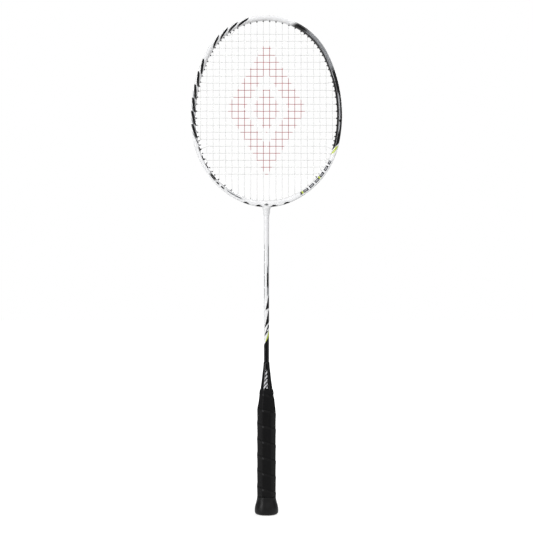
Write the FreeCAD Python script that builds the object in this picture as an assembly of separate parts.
"""Badminton racket standing upright on its butt, in millimetres.

+Z runs from the butt to the crown, +X to the right, and the front of the string bed
faces -Y. The origin is the middle of the butt's flat end. The hoop's outline is a chain
of tangent arcs, and a place on it is given by its heading: 0 degrees at the crown, 90 at
the widest part and 180 at the throat.
"""
import FreeCAD, Part
import math
import os
from FreeCAD import Vector

# ---- Head ----
racket_length = 675.0
head_length = 259.1
head_width = 204.5
crown_turn = 63.5        # degrees that the crown arc turns, to each side of the top
side_turn = 38.8         # degrees of the long side arc
flank_turn = 54.9        # degrees of the arc that runs in towards the throat
base_radius = 84.0       # arc across the throat
rim_width = 6.8          # hoop tube, seen from the front
throat_swell = 2.2       # how much wider the tube gets at the throat
swell_turn = 42.0        # degrees over which it widens
rim_depth = 10.6         # hoop tube, front to back
nose_length = 4.2        # rounded inner edge of the tube
rim_bevel = 1.5          # bevel between the faces and the outer edge
groove_width = 3.4
groove_floor = 2.7       # width of the groove at its bottom
station_spacing = 6.5    # least length of the flat stretches that make up the tube
groove_depth = 1.6

# ---- Strings and their grommets ----
string_size = 0.62       # side of the string's square section
weave_rise = 0.70        # how far a cross string passes above or below a main string
main_pitch = 8.51
main_side_gap = 5.0      # least room between the outermost main string and the rim
cross_pitch = 9.48
cross_top_gap = 25.0     # crown's outer edge to the first cross string
cross_bottom_gap = 40.0  # least distance from the last cross string to the throat's edge
bore_spacing = 5.6       # least distance between neighbouring bores
throat_exit = 6.9        # least distance of a bore's outer end from the racket's middle
bore_size = 2.2          # across the corners
bore_sides = 5
grommet_fit = 0.05
grommet_wall = 0.45
grommet_stand = 1.2      # how far a grommet stands out inside the rim
mouth_room = 0.6         # from a grommet's tip to where its string bends
string_float = 0.2       # string above the floor of the groove
side_step = 0.8          # how far a string steps aside to pass another string's bore
crossing_room = 1.2      # least distance from a crossing to the mouth of a bore
knot_girth = 1.4
knot_length = 1.1
crown_strip = 28.0       # heading where the crown's grommets end
throat_strip = 148.0     # heading where the throat's grommets begin

# ---- Throat and shaft ----
shaft_size = 7.0
shaft_wall = 1.1
shaft_top_gap = 0.4      # shaft's end below the rim
shaft_socket = 105.0     # length of the shaft inside the handle
glue_gap = 0.05
round_sides = 20         # facets round the sleeve and the cone
sleeve_length = 11.0
sleeve_low_size = 8.6
sleeve_neck_size = 9.2   # where the flare begins
sleeve_top_size = 10.9
sleeve_flare = 4.0       # height of the flared part next to the rim
peg_size = 4.6
peg_in_shaft = 28.0
peg_in_rim = 3.6

# ---- Handle ----
handle_top = 168.8
grip_width = 25.0
grip_depth = 23.4
front_facet = 11.4       # width of the flat facet that faces the front
side_facet = 9.4
grip_start = 24.6        # lower end of the wound grip
grip_shoulder = 140.7    # above this the handle tapers
grip_top_width = 17.0
tape_thickness = 1.5
tape_fit = 0.05
wrap_pitch = 21.3
wrap_phase = 3.5         # first seam above the grip's lower end, on the right side
tape_end_gap = 1.2       # from the end of the wound grip to the handle's top
wrap_lift = 0.45         # how far the upper edge of each turn stands proud
wrap_seam = 0.25         # gap between neighbouring turns
band_height = 6.0        # finishing band round the grip's upper end
band_thickness = 0.25

cap_size = 32.2
cap_belly = 6.2          # height of the widest part
cap_height = 24.4
cap_edge = 4.2           # rounding of the bottom edge
cap_lip = 0.6            # neck's width beyond the grip
cap_softness = 0.2       # share of each facet that the rounding of its corners takes
core_seat = 5.0          # handle core's lower end above the butt

cone_length = 37.0
cone_low_size = 16.8
cone_top_size = 8.2
cone_waist = 1.1         # how far the cone's side bows inwards
cone_skirt = 8.0         # part of the cone that goes down under the grip, over the core
cone_wall = 1.2
cone_collar = 6.0        # length of the cone's fit on the shaft


# ---- Outline of the hoop ----
def outline_arcs():
    """Right half of the outer outline as (centre x, centre z, radius, first and last heading)."""
    turns = [crown_turn, side_turn, flank_turn, 180.0 - crown_turn - side_turn - flank_turn]
    headings = [sum(turns[:n]) for n in range(5)]
    sines = [math.sin(math.radians(h)) for h in headings]
    cosines = [math.cos(math.radians(h)) for h in headings]
    half_width = head_width / 2

    def radii(side_radius):
        crown = (half_width - side_radius * (1 - sines[1])) / sines[1]
        reach = half_width - side_radius * (1 - sines[2]) - base_radius * sines[3]
        return [crown, side_radius, reach / (sines[2] - sines[3]), base_radius]

    def length(side_radius):
        chain = radii(side_radius)
        return sum(chain[n] * (cosines[n] - cosines[n + 1]) for n in range(4))

    growth = length(1.0) - length(0.0)
    chain = radii((head_length - length(0.0)) / growth)
    arcs = []
    x, z = 0.0, racket_length
    for n, radius in enumerate(chain):
        centre_x = x - radius * sines[n]
        centre_z = z - radius * cosines[n]
        arcs.append((centre_x, centre_z, radius, headings[n], headings[n + 1]))
        x = centre_x + radius * sines[n + 1]
        z = centre_z + radius * cosines[n + 1]
    return arcs


ARCS = outline_arcs()


def rim_point(heading, inset, side=1):
    """Point of the hoop's plane, inset from the outer outline."""
    for centre_x, centre_z, radius, first, last in ARCS:
        if heading <= last or last > 179.9:
            angle = math.radians(heading)
            x = centre_x + (radius - inset) * math.sin(angle)
            return Vector(side * x, 0, centre_z + (radius - inset) * math.cos(angle))


def tube_width(heading):
    """Width of the hoop tube, which swells towards the throat."""
    share = max(0.0, 1.0 - (180.0 - heading) / swell_turn)
    return rim_width + throat_swell * share * share * (3.0 - 2.0 * share)


def floor_point(heading, side=1):
    """Point on the bottom of the string groove."""
    return rim_point(heading, groove_depth, side)


def inner_point(heading, side=1, beyond=0.0):
    """Point at a distance beyond the tube's inner edge."""
    return rim_point(heading, tube_width(heading) + beyond, side)


def mouth_point(heading):
    """Point where a string leaves its grommet and bends."""
    return inner_point(heading, 1, MOUTH_GAP)


def heading_at(axis, value, low, high, line):
    """Heading between low and high where a line along the rim reaches x or z = value."""
    rising = getattr(line(high), axis) > getattr(line(low), axis)
    for _ in range(50):
        middle = (low + high) / 2
        if (getattr(line(middle), axis) < value) == rising:
            low = middle
        else:
            high = middle
    return (low + high) / 2


# ---- Where the strings run ----
MOUTH_GAP = grommet_stand + mouth_room
FLOOR_RUN = groove_depth - string_size / 2 - string_float
INNER_HALF = head_width / 2 - rim_width
MAIN_COUNT = int((INNER_HALF - main_side_gap) / main_pitch + 0.5)
CROSS_COUNT = 1 + int((head_length - cross_top_gap - cross_bottom_gap) / cross_pitch)


def main_x(index):
    return (index + 0.5) * main_pitch


def cross_z(index):
    return racket_length - cross_top_gap - index * cross_pitch


def wanted_bores(side):
    """Bores of one side, in order from the crown, as [heading, key]."""
    bores = []
    for index in range(MAIN_COUNT):
        x = main_x(index)
        bores.append([heading_at("x", x, 0, 90, mouth_point), ("main", index, "top")])
        bores.append([heading_at("x", x, 90, 180, mouth_point), ("main", index, "bottom")])
    for index in range(CROSS_COUNT):
        bores.append([heading_at("z", cross_z(index), 0, 180, mouth_point), ("cross", index, "end")])
    last_end = "bottom" if MAIN_COUNT % 2 else "top"
    beyond = 0.01 if MAIN_COUNT % 2 else -0.01
    last_main = [b[0] for b in bores if b[1] == ("main", MAIN_COUNT - 1, last_end)][0]
    bores.append([last_main + beyond, ("tie", "main", "end")])
    if side < 0:
        first_cross = [b[0] for b in bores if b[1] == ("cross", 0, "end")][0]
        bores.append([first_cross - 0.01, ("tie", "first cross", "end")])
    if side == (1 if CROSS_COUNT % 2 else -1):
        last_cross = [b[0] for b in bores if b[1] == ("cross", CROSS_COUNT - 1, "end")][0]
        bores.append([last_cross + 0.01, ("tie", "last cross", "end")])
    return sorted(bores)


def spread(bores):
    """Move crowded bores apart along the rim until none is nearer than bore_spacing."""
    for _ in range(200):
        for near, far in zip(bores, bores[1:]):
            lack = bore_spacing - (inner_point(far[0]) - inner_point(near[0])).Length
            if lack > 0.001:
                shift = math.degrees(lack / 2 / INNER_HALF)
                near[0] -= shift
                far[0] += shift
    return {key: heading for heading, key in bores}


BORES = {side: spread(wanted_bores(side)) for side in (-1, 1)}


def exit_heading(side, key):
    """Heading of a bore's outer end, kept clear of the throat's sleeve."""
    heading = BORES[side][key]
    if heading > 90 and floor_point(heading).x < throat_exit:
        return heading_at("x", throat_exit, 90, 180, floor_point)
    return heading


def bore_ends(side, key, outer_inset, beyond):
    """Points of a bore's axis at an inset from the outline and beyond the inner edge."""
    heading = BORES[side][key]
    low = floor_point(exit_heading(side, key), side)
    along = inner_point(heading, side) - low
    wall = tube_width(heading) - groove_depth
    return low + along * ((outer_inset - groove_depth) / wall), low + along * (1 + beyond / wall)


# ---- Solids made from flat facets ----
def facet_solid(rings, closed_ends=True):
    """Solid through a list of rings of points, each ring a closed polygon in order."""
    faces = []
    for ring, following in zip(rings, rings[1:]):
        for n in range(len(ring)):
            m = (n + 1) % len(ring)
            faces += quad(ring[n], ring[m], following[m], following[n])
    if closed_ends:
        for ring in (rings[0], rings[-1]):
            faces.append(Part.Face(Part.makePolygon(ring + ring[:1])))
    shell = Part.Shell(faces)
    solid = Part.Solid(shell)
    if solid.Volume < 0:
        solid.reverse()
    return solid


def quad(a, b, c, d):
    """One flat face, or two triangles where the four points aren't in a plane."""
    normal = (b - a).cross(c - a)
    if normal.Length > 0 and abs((d - a).dot(normal)) / normal.Length < 1e-6:
        return [Part.Face(Part.makePolygon([a, b, c, d, a]))]
    return [Part.Face(Part.makePolygon([a, b, c, a])), Part.Face(Part.makePolygon([a, c, d, a]))]


def string_tube(points):
    """Square string along a path, mitred where it bends."""
    kept = points[:1]
    for point, following in zip(points[1:], points[2:]):
        run, after = point - kept[-1], following - point
        if run.cross(after).Length > 0.001 * run.Length * after.Length:
            kept.append(point)
    points = kept + points[-1:]
    runs = [(b - a).normalize() for a, b in zip(points, points[1:])]
    half = string_size / 2
    rings = []
    for n, point in enumerate(points):
        before = runs[max(n - 1, 0)]
        after = runs[min(n, len(runs) - 1)]
        plane = (before + after).normalize()
        across = (Vector(0, 1, 0) - before * before.y).normalize()
        up = before.cross(across)
        ring = []
        for a, b in ((half, half), (-half, half), (-half, -half), (half, -half)):
            offset = across * a + up * b
            ring.append(point + offset - before * (offset.dot(plane) / before.dot(plane)))
        rings.append(ring)
    return facet_solid(rings)


def prism(start, end, size, sides=bore_sides):
    """Regular prism between two points of the hoop's plane, size across its corners."""
    along = (end - start).normalize()
    across = along.cross(Vector(0, 1, 0))
    ring = []
    for n in range(sides):
        angle = 2 * math.pi * n / sides
        offset = across * math.cos(angle) + Vector(0, 1, 0) * math.sin(angle)
        ring.append(start + offset * (size / 2))
    face = Part.Face(Part.makePolygon(ring + ring[:1]))
    return face.extrude(end - start)


# ---- The hoop ----
def rim_section(side, heading):
    """Ring of the tube's section at a heading, with the string groove on its outer edge."""
    half = rim_depth / 2
    spot = [(0, groove_width / 2), (0, half - rim_bevel), (rim_bevel, half)]
    for turn in (90, 55, 20, -20, -55, -90):
        angle = math.radians(turn)
        nose = tube_width(heading) - nose_length * (1 - math.cos(angle))
        spot.append((nose, half * math.sin(angle)))
    spot += [(rim_bevel, -half), (0, rim_bevel - half), (0, -groove_width / 2),
             (groove_depth, -groove_floor / 2), (groove_depth, groove_floor / 2)]
    ring = []
    for inset, depth in spot:
        point = rim_point(heading, inset, side)
        ring.append(Vector(point.x, depth, point.z))
    return ring


def hoop_blank():
    """Hoop tube with its groove, before the bores, with its stations halfway between bores."""
    stations = [(1, 0.0)]
    for side in (1, -1):
        headings = sorted(BORES[side].values())
        halfway = []
        for near, far in zip(headings, headings[1:]):
            middle = (near + far) / 2
            if not halfway or (inner_point(middle) - inner_point(halfway[-1][1])).Length > station_spacing:
                halfway.append((side, middle))
        stations += halfway if side > 0 else [(1, 180.0)] + halfway[::-1]
    rings = [rim_section(side, heading) for side, heading in stations]
    return facet_solid(rings + rings[:1], closed_ends=False)


def all_bores():
    return [(side, key) for side in (-1, 1) for key in sorted(BORES[side], key=BORES[side].get)]


def frame_hoop(blank):
    cutters = []
    for side, key in all_bores():
        outer, inner = bore_ends(side, key, 0, grommet_stand)
        cutters.append(prism(outer, inner, bore_size))
    throat = Vector(0, 0, racket_length - head_length)
    height = rim_width + groove_depth + peg_in_rim + glue_gap
    peg_hole = Part.makeCylinder(peg_size / 2 + glue_gap, height, throat - Vector(0, 0, rim_width))
    return blank.cut(Part.makeCompound(cutters)).cut(peg_hole)


def grommet(side, key):
    size = bore_size - 2 * grommet_fit
    outer, inner = bore_ends(side, key, groove_depth, grommet_stand)
    far_outer, far_inner = bore_ends(side, key, 0, 2 * grommet_stand)
    return prism(outer, inner, size).cut(prism(far_outer, far_inner, size - 2 * grommet_wall))


def grommet_groups():
    """Grommets by the stretch of rim that they sit in; the tie-off ones are a group too."""
    groups = {}
    for side, key in all_bores():
        heading = BORES[side][key]
        hand = "right" if side > 0 else "left"
        if key[0] == "tie":
            name = "tie_off_grommets"
        elif heading < crown_strip:
            name = "crown_grommets"
        elif heading < crown_turn:
            name = hand + "_shoulder_grommets"
        elif heading < crown_turn + side_turn:
            name = hand + "_side_grommets"
        elif heading < throat_strip:
            name = hand + "_flank_grommets"
        else:
            name = "throat_grommets"
        groups.setdefault(name, []).append(grommet(side, key))
    return groups


# ---- Strings ----
def mouth(side, key):
    return bore_ends(side, key, 0, MOUTH_GAP)[1]


def tip(side, key):
    """Middle of a grommet's inner end, where a tied string stops at its knot."""
    return bore_ends(side, key, 0, grommet_stand)[1]


def before_bore(passing, end):
    """Point a short way from a passed bore towards the end of a run, as far aside as it."""
    towards = end - Vector(passing.x, 0, passing.z)
    return passing + towards.normalize() * (bore_spacing * 0.4)


def groove_loop(side, start, end):
    """Way out of one bore, along the groove and into the next bore of the same side."""
    first = bore_ends(side, start, FLOOR_RUN, 0)[0]
    last = bore_ends(side, end, FLOOR_RUN, 0)[0]
    low, high = sorted((BORES[side][start], BORES[side][end]))
    between = sorted(h for h in BORES[side].values() if low < h < high)
    points = [first]
    if between:
        aside = side_step if "main" in (start[0], start[1]) else -side_step
        if BORES[side][start] > BORES[side][end]:
            between.reverse()
        passing = [rim_point(heading, FLOOR_RUN, side) + Vector(0, aside, 0) for heading in between]
        points.append(before_bore(passing[0], first))
        points += passing
        points.append(before_bore(passing[-1], last))
    points.append(last)
    return points


def crossings_of_main(side, index):
    """Heights at which a main string meets cross strings, from the top."""
    x = main_x(index)
    top = mouth(side, ("main", index, "top")).z - crossing_room
    bottom = mouth(side, ("main", index, "bottom")).z + crossing_room
    heights = []
    for cross in range(CROSS_COUNT):
        end = abs(mouth(side, ("cross", cross, "end")).x) - crossing_room
        if bottom < cross_z(cross) < top and x < end:
            heights.append(cross_z(cross))
    return heights


def main_run(side, index, downwards):
    heights = crossings_of_main(side, index)
    x = side * main_x(index)
    points = [mouth(side, ("main", index, "top")), Vector(x, 0, heights[0]),
              Vector(x, 0, heights[-1]), mouth(side, ("main", index, "bottom"))]
    return points if downwards else points[::-1]


def half_main_string(side):
    """Path of the main string from the middle loop at the crown to its tie-off."""
    points = [bore_ends(side, ("main", 0, "top"), FLOOR_RUN, 0)[0]]
    for index in range(MAIN_COUNT):
        downwards = index % 2 == 0
        points += main_run(side, index, downwards)
        end = "bottom" if downwards else "top"
        start = ("main", index, end)
        after = ("main", index + 1, end) if index + 1 < MAIN_COUNT else ("tie", "main", "end")
        points += groove_loop(side, start, after)
    return points + [tip(side, ("tie", "main", "end"))]


def main_string():
    return string_tube(half_main_string(-1)[::-1] + half_main_string(1))


def cross_run(index, rightwards):
    """A cross string over and under the main strings, from mouth to mouth."""
    z = cross_z(index)
    points = []
    for side, order in ((-1, range(MAIN_COUNT - 1, -1, -1)), (1, range(MAIN_COUNT))):
        if side < 0:
            points.append(mouth(-1, ("cross", index, "end")))
        for main in order:
            if z in crossings_of_main(side, main):
                over = (main + index + (side > 0)) % 2 == 0
                rise = -weave_rise if over else weave_rise
                points.append(Vector(side * main_x(main), rise, z))
    points.append(mouth(1, ("cross", index, "end")))
    return points if rightwards else points[::-1]


def cross_string():
    first = ("cross", 0, "end")
    tie = ("tie", "first cross", "end")
    points = [tip(-1, tie)] + groove_loop(-1, tie, first)
    for index in range(CROSS_COUNT):
        rightwards = index % 2 == 0
        points += cross_run(index, rightwards)
        side = 1 if rightwards else -1
        after = ("cross", index + 1, "end")
        if index + 1 == CROSS_COUNT:
            after = ("tie", "last cross", "end")
        points += groove_loop(side, ("cross", index, "end"), after)
    return string_tube(points + [tip(side, after)])


def knot(side, key):
    """Small faceted knot on the string's end, just inside its tie-off grommet."""
    inner = bore_ends(side, key, 0, grommet_stand + glue_gap)[1]
    along = (inner - bore_ends(side, key, 0, 0)[1]).normalize()
    across = along.cross(Vector(0, 1, 0))
    rings = []
    for lengthwise, girth in ((0.0, 0.55), (0.3, 1.0), (0.75, 1.0), (1.0, 0.5)):
        centre = inner + along * (lengthwise * knot_length)
        ring = []
        for n in range(6):
            angle = math.pi * n / 3
            offset = across * math.cos(angle) + Vector(0, 1, 0) * math.sin(angle)
            ring.append(centre + offset * (girth * knot_girth / 2))
        rings.append(ring)
    return facet_solid(rings)


# ---- Throat and shaft ----
SHAFT_TOP = racket_length - head_length - shaft_top_gap
SHAFT_BOTTOM = handle_top - shaft_socket


def turned(profile):
    """Solid turned about the racket's axis in flat facets, from (radius, z) points going up."""
    rings = []
    for radius, z in profile:
        angles = [2 * math.pi * n / round_sides for n in range(round_sides)]
        rings.append([Vector(radius * math.cos(a), radius * math.sin(a), z) for a in angles])
    return facet_solid(rings)


def round_bore(size, low, high):
    """Cutter for a bore whose flats clear a round piece of that size."""
    radius = (size / 2 + glue_gap) / math.cos(math.pi / round_sides)
    return turned([(radius, low), (radius, high)])


def shaft():
    outside = Part.makeCylinder(shaft_size / 2, SHAFT_TOP - SHAFT_BOTTOM, Vector(0, 0, SHAFT_BOTTOM))
    bore = Part.makeCylinder(shaft_size / 2 - shaft_wall, SHAFT_TOP - SHAFT_BOTTOM, Vector(0, 0, SHAFT_BOTTOM))
    return outside.cut(bore)


def t_joint():
    """Peg glued into the shaft and up into the hoop, with a collar between them."""
    floor = racket_length - head_length + groove_depth
    top = floor + peg_in_rim
    inside = shaft_size / 2 - shaft_wall - glue_gap
    return turned([(inside, SHAFT_TOP - peg_in_shaft), (inside, SHAFT_TOP),
                   (peg_size / 2, SHAFT_TOP), (peg_size / 2, top)])


def throat_sleeve(blank):
    """Ferrule that flares up into the hoop and fills its groove there."""
    top = racket_length - head_length + groove_depth - glue_gap
    low = SHAFT_TOP - sleeve_length
    neck = SHAFT_TOP - sleeve_flare
    body = turned([(sleeve_low_size / 2, low), (sleeve_neck_size / 2, neck),
                   (sleeve_top_size / 2, SHAFT_TOP + shaft_top_gap), (sleeve_top_size / 2, top)])
    shaft_bore = round_bore(shaft_size, low, SHAFT_TOP + glue_gap)
    rest = body.cut(shaft_bore).cut(round_bore(peg_size, low, top)).cut(blank)
    return max(rest.Solids, key=lambda solid: solid.Volume)


# ---- Handle ----
def octagon(width, depth, z):
    """Handle's eight corners at a height, with facets scaled to its width."""
    front = front_facet / grip_width * width / 2
    side = side_facet / grip_depth * depth / 2
    a, b = width / 2, depth / 2
    corners = [(a, -side), (front, -b), (-front, -b), (-a, -side),
               (-a, side), (-front, b), (front, b), (a, side)]
    return [Vector(x, y, z) for x, y in corners]


def grip_scale(z):
    """Width of the grip at a height, as a share of its full width."""
    if z <= grip_shoulder:
        return 1.0
    share = (z - grip_shoulder) / (handle_top - grip_shoulder)
    return 1.0 + (grip_top_width / grip_width - 1.0) * share


def handle_ring(z, inward):
    """Octagon at a height, set in from the grip's outer surface."""
    scale = grip_scale(z)
    return octagon(grip_width * scale - 2 * inward, grip_depth * scale - 2 * inward, z)


def skirt_radius():
    """Outer radius of the cone's skirt, which fits inside the grip's narrow upper end."""
    return grip_scale(handle_top) * grip_depth / 2 - tape_thickness - tape_fit


def handle_core():
    """Wooden core, tapered at the top and bored for the shaft."""
    inward = tape_thickness + tape_fit
    upper = skirt_radius() - cone_wall - glue_gap
    body = handle_envelope(core_seat, handle_top - cone_skirt, inward)
    spigot = turned([(upper, handle_top - cone_skirt), (upper, handle_top - glue_gap)])
    return body.fuse(spigot).cut(round_bore(shaft_size, SHAFT_BOTTOM - glue_gap, handle_top))


def handle_envelope(low, high, inward):
    """Eight-sided solid of the handle between two heights, set in from the grip's surface."""
    bend = [grip_shoulder] if low < grip_shoulder < high else []
    heights = [low] + bend + [high]
    return facet_solid([handle_ring(z, inward) for z in heights])


def grip_tape():
    """One strip of grip wound up the handle, each turn's upper edge lying proud."""
    bottom, top = grip_start, handle_top - tape_end_gap
    rings = []
    first = -8 * math.ceil(1 + wrap_phase / wrap_pitch)
    for step in range(first, math.ceil((top - bottom) / wrap_pitch * 8) + 1):
        low = bottom + wrap_phase + wrap_pitch * step / 8
        inner = []
        outer = []
        for n in range(3):
            z = low + (wrap_pitch - wrap_seam) * n / 2
            inner.append(handle_ring(z, 2 * tape_thickness)[step % 8])
            outer.append(handle_ring(z, -wrap_lift * n / 2)[step % 8])
        rings.append(inner + outer[::-1])
    keep = Part.makeBox(2 * grip_width, 2 * grip_width, top - bottom, Vector(-grip_width, -grip_width, bottom))
    wound = facet_solid(rings).common(keep)
    return wound.cut(handle_envelope(bottom - 1, top + 1, tape_thickness))


def finishing_band():
    """Thin band that holds the grip's upper end."""
    low = handle_top - band_height
    inward = -wrap_lift - tape_fit
    outside = handle_envelope(low, handle_top, inward - band_thickness)
    return outside.cut(handle_envelope(low - 1, handle_top + 1, inward))


def soft_octagon(width, depth, z):
    """Octagon with each corner cut off, so that it has sixteen sides."""
    ring = octagon(width, depth, z)
    soft = []
    for n, corner in enumerate(ring):
        for neighbour in (ring[n - 1], ring[(n + 1) % 8]):
            soft.append(corner + (neighbour - corner) * cap_softness)
    return soft


def butt_cap():
    """Flared cap with a flat end, a rounded edge and an eight-sided pocket for the core."""
    foot = cap_size - 2 * cap_edge
    neck = grip_width + cap_lip
    profile = [(foot, 0)]
    for turn in (30, 60):
        angle = math.radians(turn)
        profile.append((foot + 2 * cap_edge * math.sin(angle), cap_edge * (1 - math.cos(angle))))
    for share in (0.0, 0.25, 0.5, 0.75, 1.0):
        ease = (1 + math.cos(math.pi * share)) / 2
        profile.append((neck + (cap_size - neck) * ease, cap_belly + (cap_height - cap_belly) * share))
    ratio = grip_depth / grip_width
    body = facet_solid([soft_octagon(width, width * ratio, z) for width, z in profile])
    pocket = handle_envelope(core_seat, cap_height + 1, tape_thickness)
    return body.cut(pocket)


def cone_cap():
    """Hollow cone between the shaft and the handle, with a skirt under the grip."""
    low, high = handle_top, handle_top + cone_length
    skirt = skirt_radius()
    sides = []
    for share in (0.0, 0.25, 0.5, 0.75, 1.0):
        straight = cone_low_size + (cone_top_size - cone_low_size) * share
        bow = cone_waist * 4 * share * (1 - share)
        sides.append((straight / 2 - bow, low + cone_length * share))
    body = turned(sides).fuse(turned([(skirt, low - cone_skirt), (skirt, low)]))
    hollow = turned([(skirt - cone_wall, low - cone_skirt), (skirt - cone_wall, low),
                     (shaft_size / 2 + glue_gap, high - cone_collar)])
    return body.cut(hollow).cut(round_bore(shaft_size, high - cone_collar, high))


# ---- Output ----
def build():
    blank = hoop_blank()
    nodes = {
        "frame_hoop": frame_hoop(blank),
        "t_joint": t_joint(),
        "throat_sleeve": throat_sleeve(blank),
        "shaft": shaft(),
        "cone_cap": cone_cap(),
        "handle_core": handle_core(),
        "grip_tape": grip_tape(),
        "finishing_band": finishing_band(),
        "butt_cap": butt_cap(),
        "main_string": main_string(),
        "cross_string": cross_string(),
    }
    for name, solids in grommet_groups().items():
        nodes[name] = Part.makeCompound(solids)
    nodes["main_string_knots"] = Part.makeCompound(
        [knot(side, ("tie", "main", "end")) for side in (-1, 1)])
    last_side = 1 if CROSS_COUNT % 2 else -1
    nodes["cross_string_knots"] = Part.makeCompound(
        [knot(-1, ("tie", "first cross", "end")), knot(last_side, ("tie", "last cross", "end"))])
    return nodes


os.makedirs("parts", exist_ok=True)
for node, shape in build().items():
    shape.exportStep("parts/" + node + ".step")
    print(node, len(shape.Solids), "solids", shape.isValid(), round(shape.Volume, 1), "mm3")
